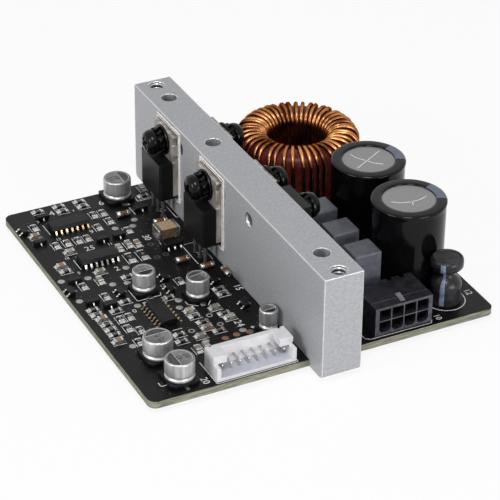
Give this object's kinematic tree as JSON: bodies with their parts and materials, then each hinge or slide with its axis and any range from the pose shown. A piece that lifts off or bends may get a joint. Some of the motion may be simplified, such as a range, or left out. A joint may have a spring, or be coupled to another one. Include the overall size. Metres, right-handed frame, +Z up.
{
  "type": "audio amplifier board",
  "caption": "Square circuit board crossed by an aluminium heat bar with transistors screwed to it, a toroid inductor, capacitors, a choke and two connectors.",
  "frame": {"origin": "middle of the bar's footprint, at the level of the lowest screw heads under the board", "axes": "+X to the side with the toroid, +Y along the bar to the back edge, away from the two connectors, +Z up from the board"},
  "size_m": [0.08, 0.092, 0.0257],
  "materials": {
    "bar_aluminium": "fine satin",
    "black_plastic": "matte",
    "black_sleeve": "glossy sleeve",
    "blackened_steel": "blackened",
    "can_aluminium": "smooth",
    "ceramic": "matte tan",
    "clear_foil": "clear foil",
    "enamelled_copper": "burgundy enamel on copper",
    "ferrite": "dull",
    "grey_plastic": "semi-gloss grey",
    "plain_steel": "zinc plated",
    "solder_mask": "semi-gloss black solder mask",
    "tinned_metal": "tinned",
    "white_plastic": "satin"
  },
  "bodies": {
    "root": {"bar_screws": "plain_steel", "bulk_capacitor_1_can": "can_aluminium", "bulk_capacitor_1_leads": "tinned_metal", "bulk_capacitor_1_sleeve": "black_sleeve", "bulk_capacitor_2_can": "can_aluminium", "bulk_capacitor_2_leads": "tinned_metal", "bulk_capacitor_2_sleeve": "black_sleeve", "ceramic_capacitor": "ceramic", "ceramic_capacitor_frames": "tinned_metal", "chip_capacitors": "ceramic", "chip_resistors": "black_plastic", "choke_core": "ferrite", "choke_leads": "tinned_metal", "choke_sleeve": "black_sleeve", "choke_winding": "enamelled_copper", "circuit_board": "solder_mask", "control_chip_1_body": "black_plastic", "control_chip_1_leads": "tinned_metal", "control_chip_2_body": "black_plastic", "control_chip_2_leads": "tinned_metal", "control_chip_3_body": "black_plastic", "control_chip_3_leads": "tinned_metal", "diodes": "tinned_metal", "film_capacitor_1": "grey_plastic", "film_capacitor_2": "grey_plastic", "film_capacitor_3": "grey_plastic", "film_capacitor_leads": "tinned_metal", "fixing_screws": "blackened_steel", "heat_bar": "bar_aluminium", "insulating_bushes": "blackened_steel", "insulating_foil_1": "clear_foil", "insulating_foil_2": "clear_foil", "insulating_foil_3": "clear_foil", "insulating_foil_4": "clear_foil", "power_header_housing": "black_plastic", "power_header_pins": "tinned_metal", "signal_header_housing": "white_plastic", "signal_header_pins": "tinned_metal", "small_transistors": "black_plastic", "smd_capacitor_1": "can_aluminium", "smd_capacitor_2": "can_aluminium", "smd_capacitor_3": "can_aluminium", "smd_capacitor_4": "can_aluminium", "smd_capacitor_5": "can_aluminium", "smd_capacitor_6": "can_aluminium", "smd_capacitor_bases": "black_plastic", "smd_capacitor_feet": "tinned_metal", "spring_washers": "blackened_steel", "toroid_core": "ferrite", "toroid_winding": "enamelled_copper", "transistor_1_body": "black_plastic", "transistor_1_leadframe": "tinned_metal", "transistor_2_body": "black_plastic", "transistor_2_leadframe": "tinned_metal", "transistor_3_body": "black_plastic", "transistor_3_leadframe": "tinned_metal", "transistor_4_body": "black_plastic", "transistor_4_leadframe": "tinned_metal", "transistor_5_body": "black_plastic", "transistor_5_leadframe": "tinned_metal"}
  },
  "joints": []
}
